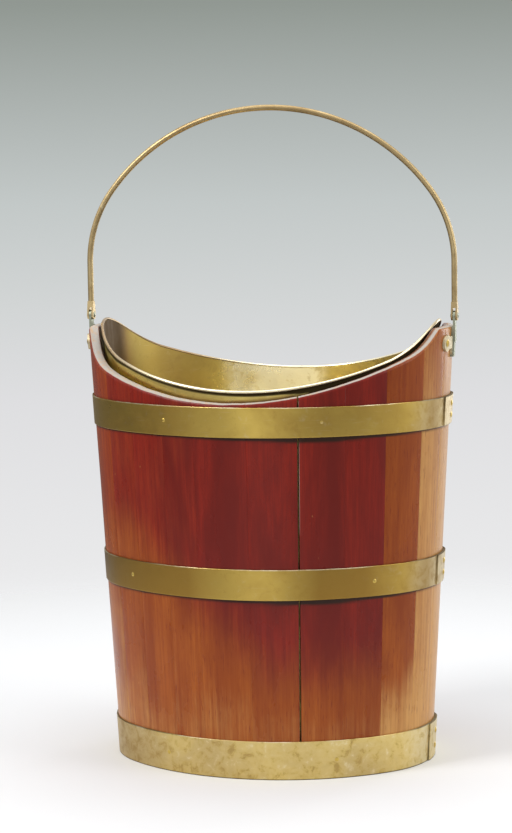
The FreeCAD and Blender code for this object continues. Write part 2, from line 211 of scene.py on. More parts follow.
class BucketFinish(bpy.types.PropertyGroup):
    """Colours of the wood and the brass."""
    red_dark: colour("Dark red wood", "Dark figure of the polished wood", (0.145, 0.010, 0.006))
    red: colour("Red wood", "Polished wood out of the sun", (0.275, 0.018, 0.008))
    brown_dark: colour("Dark brown wood", "Dark figure of the faded wood", (0.250, 0.044, 0.005))
    brown: colour("Brown wood", "Faded wood", (0.395, 0.098, 0.012))
    # Its pale tan stands partly for painted sheen where it fills the first two staves at the right end
    tan: colour("Tan wood", "Most faded streaks", (0.660, 0.345, 0.108))
    worn: colour("Worn wood", "Rubbed rim", (0.470, 0.425, 0.375))
    # Colour of painted shade under the hoops, in the open joint, on the staves' inner face at the right,
    # along the hoops' top edges and under the liner's rolled rim, and of dirt at the liner's seam
    grime: colour("Grime", "Dirt under the hoops and under the liner's rim", (0.022, 0.012, 0.006))
    plain_dark: colour("Dark board", "Dark grain of the bottom boards", (0.120, 0.060, 0.028))
    plain: colour("Board", "Bottom boards", (0.300, 0.170, 0.085))
    hoop_dark: colour("Dark hoop brass", "Tarnish on the hoops", (0.300, 0.170, 0.036))
    hoop: colour("Hoop brass", "Hoops", (0.640, 0.460, 0.110))
    hoop_pale: colour("Pale hoop brass", "Rubbed spots on the hoops", (0.800, 0.700, 0.450))
    liner_dark: colour("Dark liner brass", "Stains in the liner", (0.230, 0.120, 0.040))
    liner: colour("Liner brass", "Liner", (0.790, 0.635, 0.195))
    # Pale brass of the rolled rim and of places inside the liner: partly polish, partly painted highlight
    liner_pale: colour("Pale liner brass", "Polished rim of the liner", (0.950, 0.870, 0.600))
    bail_dark: colour("Dark bail brass", "Patina on the bail", (0.240, 0.160, 0.070))
    bail: colour("Bail brass", "Bail", (0.560, 0.430, 0.220))
    strap: colour("Strap brass", "Dull grey-green of the straps", (0.330, 0.350, 0.265))
    wing: colour("Wing brass", "Rubbed wings of the brackets", (0.539, 0.435, 0.261))


class BucketStage(bpy.types.PropertyGroup):
    """Floor, lights and camera."""
    camera: place("Camera", "Where the camera stands", (0.5253, -2.3039, 0.5958))
    aim: place("Aim", "What the camera looks at", (-0.0142, -0.0033, 0.32439))
    roll: FloatProperty(name="Roll", description="Tilt of the picture", default=0.0143, subtype="ANGLE")
    lens: share("Lens", "Focal length in millimetres on a picture 36 mm high", 107.8)
    floor: colour("Floor", "Floor under the bucket", (0.85, 0.855, 0.86))
    fill: colour("Fill", "Light that comes from all round", (0.86, 0.88, 0.90))
    shade: colour("Shade", "Dark side of the studio as the brass reflects it", (0.05, 0.045, 0.04))
    bright: colour("Bright side", "Light side of the studio as the brass reflects it", (0.95, 0.95, 0.96))


GROUPS = {"peat_body": BucketBody, "peat_hoops": BucketHoops, "peat_liner": BucketLiner,
          "peat_bail": BucketBail, "peat_finish": BucketFinish, "peat_stage": BucketStage}


class Oval:
    """Four-arc oval, leaning outwards, that the staves, hoops and liner follow."""

    def __init__(self, body):
        bulge = body.half_width - body.end_radius
        self.end_centre = body.half_length - body.end_radius
        self.side_centre = (self.end_centre ** 2 - bulge ** 2) / (2 * bulge)
        self.end_radius = body.end_radius
        self.side_radius = body.half_width + self.side_centre
        self.corner = math.atan2(self.side_centre, self.end_centre)
        self.rim_low = body.rim_low
        self.lean = body.flare / (body.rim_low + body.rim_end)

    def arc(self, angle):
        """Centre and radius of the arc that faces a direction."""
        turn = (angle + self.corner) % FULL_TURN
        if turn < 2 * self.corner:
            return Vector((self.end_centre, 0, 0)), self.end_radius
        if turn < math.pi:
            return Vector((0, -self.side_centre, 0)), self.side_radius
        if turn < math.pi + 2 * self.corner:
            return Vector((-self.end_centre, 0, 0)), self.end_radius
        return Vector((0, self.side_centre, 0)), self.side_radius

    def out(self, angle):
        """Level direction straight out of the wall."""
        return Vector((math.cos(angle), math.sin(angle), 0))

    def point(self, angle, offset, height):
        """Point at a level offset from the wood's outer face."""
        centre, radius = self.arc(angle)
        return centre + self.out(angle) * (radius + offset + self.lean * height) + UP * height

    def rim(self, angle, low, sweep, shift, end_rise, level, fade, power):
        """Height of a rim in a direction: a scoop with raised ends."""
        along = self.point(angle, 0, self.rim_low).x / self.point(0, 0, self.rim_low).x
        scoop = low + sweep * (along - shift) ** 2
        from_end = abs((math.degrees(angle) + 90) % 180 - 90)
        away = max(0, from_end - level) / fade
        return scoop + (low + end_rise - scoop) * math.exp(-away ** power)

    def wood_rim(self, body, angle):
        """Height of the staves in a direction."""
        return self.rim(angle, body.rim_low, body.rim_sweep, body.rim_shift, body.rim_end,
                        body.rim_level, body.rim_fade, body.rim_power)

    def liner_rim(self, body, liner, angle):
        """Height of the middle of the liner's rolled rim in a direction."""
        return self.rim(angle, body.rim_low + liner.stand, liner.sweep, 0, liner.end_rise,
                        0, liner.fade, liner.power)

    def walk(self, start, end, step):
        """Directions from start to end, spaced evenly along the wall."""
        angles = [start]
        while angles[-1] < end:
            angles.append(angles[-1] + step / self.arc(angles[-1])[1])
        stretch = (end - start) / (angles[-1] - start)
        return [start + (angle - start) * stretch for angle in angles]


def smooth_step(low, high, value):
    """Soft change from 0 to 1."""
    t = min(1, max(0, (value - low) / (high - low)))
    return t * t * (3 - 2 * t)


def near(value, middle, width):
    """1 at a middle value, falling away on both sides of it."""
    return math.exp(-((value - middle) / width) ** 2)


def band(value, middle, full, none):
    """1 up to one distance from a middle value, and 0 from another distance on."""
    return smooth_step(none, full, abs(value - middle))


def wander(point, scale, amount, seed=0.0):
    """Smooth unevenness of a surface at a point."""
    return amount * noise.noise(point * scale + Vector((seed, seed, seed)))


def corner_steps(count):
    """Angles over a rounded corner."""
    return [math.pi / 2 * step / count for step in range(count + 1)]


class Sheet:
    """Mesh under construction, with named numbers on its points."""

    def __init__(self):
        self.points = []
        self.faces = []
        self.numbers = {}

    def add(self, point, **numbers):
        """New point with its numbers."""
        self.points.append(point)
        for name, value in numbers.items():
            self.numbers.setdefault(name, []).append(value)
        return len(self.points) - 1

    def grid(self, columns, closed_rows=False, closed_columns=False):
        """Quads over columns of points."""
        pairs = list(zip(columns, columns[1:]))
        if closed_columns:
            pairs.append((columns[-1], columns[0]))
        for left, right in pairs:
            rows = len(left)
            for row in range(rows if closed_rows else rows - 1):
                after = (row + 1) % rows
                self.faces.append((left[row], right[row], right[after], left[after]))

    def tube(self, columns):
        """Quads over closed columns of points, with a cap on each end."""
        self.grid(columns, closed_rows=True)
        self.faces.append(tuple(columns[0]))
        self.faces.append(tuple(reversed(columns[-1])))

    def ring(self, centre, first, second, radius, sides, **numbers):
        """Closed column of points round a centre, in the plane of two directions."""
        turns = [FULL_TURN * side / sides for side in range(sides)]
        return [self.add(centre + (first * math.cos(turn) + second * math.sin(turn)) * radius, **numbers)
                for turn in turns]

    def build(self, name, material, smooth_angle=40.0):
        """Object made of the points and faces, without doubled points."""
        mesh = bpy.data.meshes.new(name)
        mesh.from_pydata(self.points, [], self.faces)
        for label, values in self.numbers.items():
            if isinstance(values[0], Vector):
                attribute = mesh.attributes.new(label, "FLOAT_VECTOR", "POINT")
                attribute.data.foreach_set("vector", [c for value in values for c in value])
            else:
                attribute = mesh.attributes.new(label, "FLOAT", "POINT")
                attribute.data.foreach_set("value", values)
        cleaned = bmesh.new()
        cleaned.from_mesh(mesh)
        bmesh.ops.remove_doubles(cleaned, verts=cleaned.verts, dist=DOUBLED)
        bmesh.ops.recalc_face_normals(cleaned, faces=cleaned.faces)
        cleaned.to_mesh(mesh)
        cleaned.free()
        mesh.materials.append(material)
        mesh.shade_smooth()
        mesh.set_sharp_from_angle(angle=math.radians(smooth_angle))
        piece = bpy.data.objects.new(name, mesh)
        bpy.context.scene.collection.objects.link(piece)
        return piece


def dress(piece, body, node_name):
    """Piece rides on its body and stands for its node, which is hidden."""
    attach(piece, body)
    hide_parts(node_name)


def paint(node_name, material):
    """Put a finish on a node that keeps its shape."""
    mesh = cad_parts[node_name].data
    mesh.materials.clear()
    mesh.materials.append(material)


def node(tree, kind, inputs=None, **settings):
    """New shader node with its inputs linked or set."""
    made = tree.nodes.new(kind)
    for name, value in settings.items():
        setattr(made, name, value)
    for key, value in (inputs or {}).items():
        if isinstance(value, bpy.types.NodeSocket):
            tree.links.new(value, made.inputs[key])
        else:
            made.inputs[key].default_value = value
    return made


def new_material(name, **settings):
    """Empty material with its shader's plain sockets set."""
    material = bpy.data.materials.new(name)
    material.use_nodes = True
    shader = material.node_tree.nodes["Principled BSDF"]
    for key, value in settings.items():
        shader.inputs[key.replace("_", " ")].default_value = value
    return material, material.node_tree, shader


def stretched(tree, vector, scale):
    """Coordinates stretched along each axis."""
    return node(tree, "ShaderNodeMapping", {"Vector": vector, "Scale": scale}).outputs["Vector"]


def cloudy(tree, vector, scale, detail=4.0, rough=0.55, bend=0.0):
    """Soft noise between 0 and 1."""
    made = node(tree, "ShaderNodeTexNoise", {"Vector": vector, "Scale": scale, "Detail": detail,
                                             "Roughness": rough, "Distortion": bend})
    return made.outputs["Fac"]


def spread(tree, value, low, high, to_low=0.0, to_high=1.0):
    """Value between two levels stretched to two others, with soft ends."""
    made = node(tree, "ShaderNodeMapRange",
                {"Value": value, "From Min": low, "From Max": high, "To Min": to_low, "To Max": to_high},
                interpolation_type="SMOOTHSTEP")
    return made.outputs["Result"]


def spread_evenly(tree, value, low, high):
    """Value between two levels stretched evenly to 0 and 1."""
    return node(tree, "ShaderNodeMapRange", {"Value": value, "From Min": low, "From Max": high}).outputs[0]


def maths(tree, operation, first, second, clamp=False):
    """Result of one operation on two values."""
    made = node(tree, "ShaderNodeMath", {0: first, 1: second}, operation=operation, use_clamp=clamp)
    return made.outputs[0]


def mixed(tree, factor, first, second):
    """Two colours mixed by a factor."""
    made = node(tree, "ShaderNodeMix", {0: factor}, data_type="RGBA")
    for index, value in ((6, first), (7, second)):
        if isinstance(value, bpy.types.NodeSocket):
            tree.links.new(value, made.inputs[index])
        else:
            made.inputs[index].default_value = (*value, 1)
    return made.outputs[2]


def bumped(tree, shader, height, strength, distance):
    """Fine relief on the shader's normal."""
    made = node(tree, "ShaderNodeBump", {"Height": height, "Strength": strength, "Distance": distance})
    tree.links.new(made.outputs["Normal"], shader.inputs["Normal"])


def attribute(tree, name, output="Fac"):
    """Number or vector kept on the mesh."""
    return node(tree, "ShaderNodeAttribute", attribute_name=name).outputs[output]


def finish_of(context):
    """Colours that the user has set."""
    return context.scene.peat_finish


def mahogany(finish):
    """Polished red wood that has faded to brown and tan, with a rubbed rim and painted shade; its palest tan
    is partly painted sheen.
    """
    material, tree, shader = new_material("polished_mahogany", Specular_IOR_Level=0.22)
    grain = attribute(tree, "grain", "Vector")
    fade = attribute(tree, "fade")
    rub = attribute(tree, "rub")
    figure = cloudy(tree, stretched(tree, grain, (30, 30, 4.5)), 1.0, 5.0, 0.6, 0.6)
    streaks = cloudy(tree, stretched(tree, grain, (300, 300, 7)), 1.0, 5.0, 0.65)
    fibres = cloudy(tree, stretched(tree, grain, (850, 850, 24)), 1.0, 2.0, 0.6)
    pores = spread(tree, cloudy(tree, stretched(tree, grain, (760, 760, 75)), 1.0, 1.0), 0.62, 0.72)
    blotch = cloudy(tree, stretched(tree, grain, (22, 22, 11)), 1.0, 4.0, 0.6)

    drift = maths(tree, "ADD", maths(tree, "MULTIPLY", maths(tree, "SUBTRACT", blotch, 0.5), 0.42),
                  maths(tree, "MULTIPLY", maths(tree, "SUBTRACT", streaks, 0.5), 0.24))
    faded = spread(tree, maths(tree, "ADD", fade, drift), 0.05, 0.66)
    reds = mixed(tree, spread(tree, figure, 0.34, 0.66), finish.red_dark, finish.red)
    browns = mixed(tree, spread(tree, figure, 0.32, 0.64), finish.brown_dark, finish.brown)
    shade = mixed(tree, faded, finish.red_dark, finish.brown_dark)
    body = mixed(tree, faded, reds, browns)
    tans = maths(tree, "MULTIPLY", spread(tree, maths(tree, "ADD", fade, drift), 0.64, 1.08),
                 spread(tree, streaks, 0.35, 0.65, 0.75, 1.0))
    body = mixed(tree, spread(tree, streaks, 0.36, 0.60, 0.42, 0.0), body, shade)
    body = mixed(tree, spread(tree, fibres, 0.34, 0.62, 0.46, 0.0), body, shade)
    body = mixed(tree, tans, body, finish.tan)
    body = mixed(tree, maths(tree, "MULTIPLY", pores, 0.45), body, finish.red_dark)

    cells = node(tree, "ShaderNodeTexVoronoi",
                 {"Vector": stretched(tree, grain, (190, 190, 70)), "Scale": 1.0})
    few = node(tree, "ShaderNodeSeparateColor", {"Color": cells.outputs["Color"]}).outputs[0]
    nicks = maths(tree, "MULTIPLY", spread(tree, few, 0.965, 0.97),
                  spread(tree, cells.outputs["Distance"], 0.075, 0.045))
    body = mixed(tree, maths(tree, "MULTIPLY", nicks, 0.6), body, finish.tan)

    ragged = maths(tree, "ADD", rub, maths(tree, "MULTIPLY", maths(tree, "SUBTRACT", blotch, 0.5), 0.5))
    rubbed = spread(tree, ragged, 0.38, 0.62)
    chalky = mixed(tree, spread(tree, streaks, 0.34, 0.52, 0.45, 0.0), finish.worn, finish.tan)
    body = mixed(tree, rubbed, body, chalky)
    # Painted shade under the hoops, in the open joint and on the inner face at the right
    body = mixed(tree, attribute(tree, "grime"), body, finish.grime)
    tree.links.new(body, shader.inputs["Base Color"])
    polish = maths(tree, "ADD", spread(tree, blotch, 0.3, 0.7, 0.25, 0.36),
                   maths(tree, "MULTIPLY", rubbed, 0.4))
    tree.links.new(polish, shader.inputs["Roughness"])
    relief = maths(tree, "SUBTRACT", fibres, maths(tree, "MULTIPLY", pores, 0.6))
    bumped(tree, shader, relief, 0.18, 0.0002)
    return material


def plain_board(finish):
    """Planed bottom board with grain the long way."""
    material, tree, shader = new_material("planed_board")
    where = node(tree, "ShaderNodeTexCoord").outputs["Object"]
    figure = cloudy(tree, stretched(tree, where, (5, 90, 90)), 1.0, 5.0, 0.6, 0.8)
    fibres = cloudy(tree, stretched(tree, where, (40, 1500, 1500)), 1.0, 3.0)
    body = mixed(tree, spread(tree, figure, 0.3, 0.65), finish.plain_dark, finish.plain)
    body = mixed(tree, spread(tree, fibres, 0.35, 0.65, 0.3, 0.0), body, finish.plain_dark)
    tree.links.new(body, shader.inputs["Base Color"])
    tree.links.new(spread(tree, fibres, 0.3, 0.7, 0.65, 0.5), shader.inputs["Roughness"])
    bumped(tree, shader, fibres, 0.3, 0.0003)
    return material


def brass(name, dark, bright, pale, stain, mottle, rough):
    """Aged brass: tarnish in clouds, rubbed spots and edges, fine scratches and pits, and the painted
    highlight and painted shade that the pieces' numbers carry.
    """
    material, tree, shader = new_material(name)
    where = node(tree, "ShaderNodeTexCoord").outputs["Object"]
    clouds = cloudy(tree, where, 11.0, 4.0, 0.6, 0.5)
    spots = cloudy(tree, where, 105.0, 5.0, 0.65, 0.4)
    lines = cloudy(tree, stretched(tree, where, (45, 45, 1300)), 1.0, 3.0)
    body = mixed(tree, spread(tree, clouds, 0.36, 0.64, stain, 0.0), bright, dark)
    body = mixed(tree, spread(tree, spots, 0.46, 0.32, 0.0, mottle), body, dark)
    body = mixed(tree, spread(tree, spots, 0.57, 0.72, 0.0, mottle), body, pale)
    body = mixed(tree, spread(tree, lines, 0.62, 0.74, 0.0, 0.20), body, pale)
    pits = node(tree, "ShaderNodeTexVoronoi", {"Vector": where, "Scale": 150.0})
    few = node(tree, "ShaderNodeSeparateColor", {"Color": pits.outputs["Color"]}).outputs[0]
    holes = maths(tree, "MULTIPLY", spread(tree, few, 0.86, 0.88, 0.0, mottle),
                  spread(tree, pits.outputs["Distance"], 0.14, 0.07))
    body = mixed(tree, holes, body, dark)
    body = mixed(tree, attribute(tree, "stain"), body, dark)
    # Paler brass from the edge number: rubbed wear, with painted highlight on the hoops' top edges and on
    # the places inside the liner
    worn = maths(tree, "MULTIPLY", attribute(tree, "edge"), spread(tree, spots, 0.34, 0.56, 0.4, 1.0))
    body = mixed(tree, worn, body, pale)
    # Painted shade, and some dirt, darkens the brass and takes its shine away
    grime = attribute(tree, "grime")
    body = mixed(tree, grime, body, finish_of(bpy.context).grime)
    tree.links.new(body, shader.inputs["Base Color"])
    bare = maths(tree, "SUBTRACT", 1.0, grime)
    tree.links.new(bare, shader.inputs["Metallic"])
    tree.links.new(maths(tree, "MULTIPLY", bare, 0.5), shader.inputs["Specular IOR Level"])
    dull = maths(tree, "ADD", spread(tree, clouds, 0.3, 0.7, rough + 0.07, rough - 0.03),
                 spread(tree, spots, 0.35, 0.65, 0.06, 0.0))
    dull = maths(tree, "ADD", dull, maths(tree, "MULTIPLY", grime, 0.45))
    tree.links.new(dull, shader.inputs["Roughness"])
    relief = maths(tree, "ADD", maths(tree, "MULTIPLY", lines, 0.35), maths(tree, "SUBTRACT", spots, holes))
    bumped(tree, shader, relief, 0.08, 0.0003)
    return material, tree, body


class PEAT_OT_staves(bpy.types.Operator):
    """Build the staves with their rubbed rim and their open joint"""
    bl_idname = "peat.staves"
    bl_label = "Staves"
    # Lower and upper edges of the hoops that shade the wood, and the wall's length so far, for the grain
    hoop_edges = ()
    run = 0.0

    def execute(self, context):
        body = context.scene.peat_body
        oval = Oval(body)
        material = mahogany(finish_of(context))
        ends = STAVE_JOINTS[1:] + (STAVE_JOINTS[0] + 360,)
        self.hoop_edges = [[corner.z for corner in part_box(name)] for name in ("middle_hoop", "upper_hoop")]
        for number, (start, end) in enumerate(zip(STAVE_JOINTS, ends), 1):
            sides = (number == OPEN_JOINT, number + 1 == OPEN_JOINT)
            piece = self.stave(body, oval, number, math.radians(start), math.radians(end), sides, material)
            dress(piece, "bucket", f"stave_{number:02d}")
        return {"FINISHED"}

    def profile(self, body, rim):
        """Rows up a stave's face, over its rim and down inside: depth, height, outward."""
        outer = body.rim_round
        inner = body.inner_round
        inside = body.thickness
        heights = [(rim - outer) * step / 30 for step in range(31)]
        for low, high in self.hoop_edges:
            heights += [low + rise for rise in ROWS_AT_FOOT] + [high + rise for rise in ROWS_AT_TOP]
        rows = [(0, min(height, rim - outer), (1, 0)) for height in sorted(heights)]
        for turn in corner_steps(6)[1:]:
            rows.append((outer * (1 - math.cos(turn)), rim - outer * (1 - math.sin(turn)),
                         (math.cos(turn), math.sin(turn))))
        for turn in corner_steps(4):
            rows.append((inside - inner * (1 - math.sin(turn)), rim - inner * (1 - math.cos(turn)),
                         (-math.sin(turn), math.cos(turn))))
        drop = rim - inner - body.groove_high
        rows += [(inside, body.groove_high + drop * (1 - step / 8), (-1, 0)) for step in range(1, 9)]
        rows += [(inside - body.groove_depth, body.groove_high, (-1, 0)),
                 (inside - body.groove_depth, body.groove_low, (-1, 0)),
                 (inside, body.groove_low, (-1, 0)), (inside, 0, (-1, 0))]
        return rows

    def columns(self, body, oval, start, end, open_sides):
        """Directions across a stave, and how far its rounded long edges draw in there."""
        bends = [body.open_round if opened else body.joint_round for opened in open_sides]
        gaps = [body.open_gap / 2 if opened else 0 for opened in open_sides]
        first = start + gaps[0] / oval.arc(start)[1]
        last = end - gaps[1] / oval.arc(end)[1]
        radii = (oval.arc(first)[1], oval.arc(last)[1])
        lead = [(first + bends[0] * (1 - math.cos(turn)) / radii[0], bends[0] * (1 - math.sin(turn)))
                for turn in corner_steps(4)]
        tail = [(last - bends[1] * (1 - math.cos(turn)) / radii[1], bends[1] * (1 - math.sin(turn)))
                for turn in corner_steps(4)]
        middle = [(angle, 0) for angle in oval.walk(lead[-1][0], tail[-1][0], STAVE_STEP)[1:-1]]
        return lead + middle + tail[::-1]

    def fade_line(self, number, part):
        """Height of the fade across a stave, which runs on into its neighbours."""
        line = FADE_LINES[number - 1]
        beside = FADE_LINES[(number if part > 0.5 else number - 2) % len(FADE_LINES)]
        return line + (beside - line) * abs(part - 0.5)

    def shadow(self, body, angle, height):
        """Painted shadow on the wood under the hoops, highest in front where they stand off."""
        depth = body.shade + body.front_shade * near(angle, WOOD_SHADE, 0.34)
        return 0.93 * max(smooth_step(low - depth - body.shade, low - depth, height)
                          * smooth_step(low + 0.006, low + 0.003, height) for low, _ in self.hoop_edges)

    def rubbed(self, outward, below_rim, right):
        """How bare the wood is rubbed over the rim, which starts higher up on the right."""
        if outward[0] == -1:
            return smooth_step(0.03, 0.0, below_rim)
        return smooth_step(0.45 + 0.1 * right, 0.9 + 0.1 * right, outward[1])

    def faded(self, fade, line, height):
        """How far the wood has faded: less near the rim, and more below its line and at the foot."""
        low = smooth_step(line + 0.07, line - 0.05, height)
        upper = fade - 0.24 * max(0, fade - 0.3) * smooth_step(0.30, 0.40, height)
        return max(upper, fade * 0.4 + 0.60 * low) + 0.12 * smooth_step(0.11, 0.04, height)

    def stave(self, body, oval, number, start, end, open_sides, material):
        """One stave between two joints, with its grain, fading, rubbing, and painted shade under the hoops,
        in the open joint and on its inner face at the right.
        """
        sheet = Sheet()
        fade = STAVE_FADES_AND_SHEEN[number - 1]
        hoop_top = self.hoop_edges[1][1]
        columns = []
        across = 0
        last_foot = None
        for index, (angle, draw) in enumerate(self.columns(body, oval, start, end, open_sides)):
            rim = oval.wood_rim(body, angle)
            rim -= abs(wander(oval.point(angle, 0, rim), 90, body.wave * 3, 5.0))
            foot = oval.point(angle, 0, 0)
            across += (foot - last_foot).length if last_foot else 0
            last_foot = foot
            frayed = open_sides[0] and index in (2, 3)
            chalked = number in CHALKED and index in (1, 2)
            # Rounded edges that face the open joint get painted shade from the gap
            gap_shade = draw > 0 and open_sides[angle - start > end - angle] and not frayed
            right = smooth_step(-0.07, 0.05, foot.x)
            line = self.fade_line(number, (angle - start) / (end - start))
            column = []
            for depth, height, outward in self.profile(body, rim):
                point = oval.point(angle, -depth - draw * outward[0], max(0, height - draw * outward[1]))
                point -= oval.out(angle) * abs(wander(point, 22, body.wave, number)) * max(0, outward[0])
                # Inner face at the right end: not rubbed, and given painted shade across the gap to the
                # liner
                inside = right * smooth_step(0.0045, 0.0070, depth)
                rub = self.rubbed(outward, rim - height, right) * (1 - inside)
                if frayed and depth == 0:
                    rub = 0.52 * smooth_step(0.18, 0.24, height)
                if chalked and depth == 0:
                    rub = 0.6 * smooth_step(hoop_top - 0.004, hoop_top, height)
                grain = Vector((self.run + across, depth, height + number * 0.06))
                # Painted shadow under the hoops on the outer face, painted shade inside at the right
                grime = self.shadow(body, angle % FULL_TURN, height) if depth == 0 else 0.7 * inside
                if gap_shade and height < rim - body.rim_round:
                    grime = max(grime, 0.9)
                column.append(sheet.add(point, grain=grain, rub=rub, grime=grime,
                                        fade=self.faded(fade, line, height)))
            columns.append(column)
        sheet.tube(columns)
        self.run += across
        return sheet.build(f"stave_{number:02d}_wood", material)


class PEAT_OT_bottom(bpy.types.Operator):
    """Finish the bottom boards"""
    bl_idname = "peat.bottom"
    bl_label = "Bottom boards"

    def execute(self, context):
        material = plain_board(finish_of(context))
        for number in (1, 2, 3):
            paint(f"bottom_board_{number}", material)
        return {"FINISHED"}


class PEAT_OT_hoops(bpy.types.Operator):
    """Build the three hoops with their laps"""
    bl_idname = "peat.hoops"
    bl_label = "Hoops"

    def execute(self, context):
        hoops = context.scene.peat_hoops
        finish = finish_of(context)
        oval = Oval(context.scene.peat_body)
        tones = (finish.hoop_dark, finish.hoop, finish.hoop_pale)
        strip = brass("hoop_brass_strip", *tones, stain=0.45, mottle=0.22, rough=0.30)[0]
        foot = brass("base_hoop_brass", *tones, stain=0.50, mottle=0.55, rough=0.38)[0]
        for name, bow, tarnish, material in (("base_hoop", 0, 0.0, foot),
                                             ("middle_hoop", hoops.middle_bow, 0.46, strip),
                                             ("upper_hoop", hoops.upper_bow, 0.16, strip)):
            low, high = (corner.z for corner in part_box(name))
            piece = self.strip(hoops, oval, name, low, high, bow, tarnish, material)
            dress(piece, "bucket", name)
        return {"FINISHED"}

    def section(self, hoops, low, high):
        """Rounded section of a strip, from the foot of its outer face: outward offset, height, edge."""
        bend = hoops.edge_round
        rows = []
        for out, level, quarter in ((1, 0, 0), (1, 1, 1), (0, 1, 2), (0, 0, 3)):
            for turn in corner_steps(3):
                angle = turn - math.pi / 2 + quarter * math.pi / 2
                rows.append((out * hoops.thickness + bend * ((1 if not out else -1) + math.cos(angle)),
                             (high if level else low) + bend * ((-1 if level else 1) + math.sin(angle)),
                             level))
            if quarter == 0:
                face = [low + hoops.edge_band] + [low + (high - low) * step / 6 for step in range(1, 6)]
                rows += [(hoops.thickness, height, 0) for height in face + [high - hoops.edge_band]]
        return rows

    def aged(self, angle, tarnish):
        """Stain, rubbing and top-edge darkening of a strip in a direction. On the tarnished hoops the stain
        grows to the left, partly tarnish and partly painted dark reflection, and is left off in front as a
        painted highlight. The darkened top edge, all round but at the front right, is painted shadow of the
        gap to the wood. The base hoop has no tarnish.
        """
        end = smooth_step(0.75, 0.35, min(abs(angle), abs(angle - FULL_TURN)))
        dirt_and_shade = max(end, smooth_step(HOOP_FRONT - 0.30, HOOP_FRONT - 0.65, angle))
        if not tarnish:
            left = smooth_step(HOOP_FRONT - 0.30, HOOP_FRONT - 1.10, angle) * smooth_step(1.6, 2.4, angle)
            return 0.8 * left, 0.3 + 0.4 * end, dirt_and_shade
        # Stain grows to the left, partly tarnish and partly painted dark reflection, and is left off in
        # front as a painted highlight
        left = smooth_step(HOOP_FRONT - 0.15, HOOP_FRONT - 0.60, angle)
        front_highlight = near(angle, HOOP_FRONT - 0.04, 0.15)
        dull = near(angle, FULL_TURN - 0.40, 0.15)
        stain = tarnish * (1 + 1.8 * left - (1.2 - 1.6 * tarnish) * front_highlight)
        stain += 1.6 * tarnish * near(angle, HOOP_FRONT + 0.38, 0.16)
        stain += 0.36 * end + 0.42 * (1 - tarnish) * dull
        return min(0.9, stain), 0.62 * end * (1 - 0.7 * dull), dirt_and_shade

    def strip(self, hoops, oval, name, low, high, bow, tarnish, material):
        """One hoop, whose first end climbs on to its last, with its lower edge bowed out in front."""
        sheet = Sheet()
        half_lap = hoops.lap / 2 / oval.end_radius
        ramp = hoops.lap_ramp / oval.end_radius
        columns = []
        for angle in oval.walk(-half_lap, FULL_TURN + half_lap, HOOP_STEP):
            climb = hoops.thickness * smooth_step(half_lap + ramp, half_lap, angle)
            bowed = bow * near(angle, HOOP_FRONT, 0.30)
            stain, worn, dirt_and_shade = self.aged(angle, tarnish)
            column = []
            for out, height, edge in self.section(hoops, low, high):
                level = (height - low) / (high - low)
                seat = oval.point(angle, 0, height)
                dip = abs(wander(seat, 120, hoops.edge_wander, 7.0)) * edge
                dip += abs(wander(seat, 30, hoops.face_wander, low * 50)) * edge
                offset = hoops.seat_gap + out + climb + bowed * (1 - level)
                # Pale patches along the top edge are painted highlight
                glint = edge * smooth_step(-0.25, 0.25, wander(seat, 28, 1.0, 11.0))
                # Top edge darkened as painted shadow of the gap to the wood
                grime = 0.7 * dirt_and_shade * edge if height > low + hoops.edge_band else 0
                # The base hoop's lowest rows are darkened
                if not tarnish and height < low + hoops.edge_band / 2:
                    grime = 0.85
                column.append(sheet.add(oval.point(angle, offset, height - dip), edge=max(glint, worn),
                                        stain=stain, grime=grime))
            columns.append(column)
        sheet.tube(columns)
        return sheet.build(f"{name}_strip", material)


class PEAT_OT_fasteners(bpy.types.Operator):
    """Finish the rivets, pins and screws"""
    bl_idname = "peat.fasteners"
    bl_label = "Fasteners"

    def execute(self, context):
        finish = finish_of(context)
        material = brass("fastener_brass_heads", finish.hoop_dark, finish.hoop, finish.hoop_pale,
                         stain=0.3, mottle=0.4, rough=0.28)[0]
        for name in ("base_hoop_rivets", "middle_hoop_rivets", "upper_hoop_rivets", "hoop_pins",
                     "left_bracket_screws", "right_bracket_screws"):
            paint(name, material)
        return {"FINISHED"}


class PEAT_OT_brackets(bpy.types.Operator):
    """Finish the end brackets and the pivot pins"""
    bl_idname = "peat.brackets"
    bl_label = "Brackets"

    def execute(self, context):
        finish = finish_of(context)
        material, tree, body = brass("bracket_cast_brass", finish.strap, finish.wing, finish.hoop_pale,
                                     stain=0.4, mottle=0.4, rough=0.42)
        where = node(tree, "ShaderNodeTexCoord").outputs["Object"]
        side = node(tree, "ShaderNodeSeparateXYZ", {"Vector": where}).outputs["Y"]
        middle = spread(tree, maths(tree, "ABSOLUTE", side, 0.0), 0.0060, 0.0045)
        tree.links.new(mixed(tree, middle, body, finish.strap),
                       tree.nodes["Principled BSDF"].inputs["Base Color"])
        for name in ("left_bracket", "right_bracket", "left_pivot_pin", "right_pivot_pin"):
            paint(name, material)
        return {"FINISHED"}


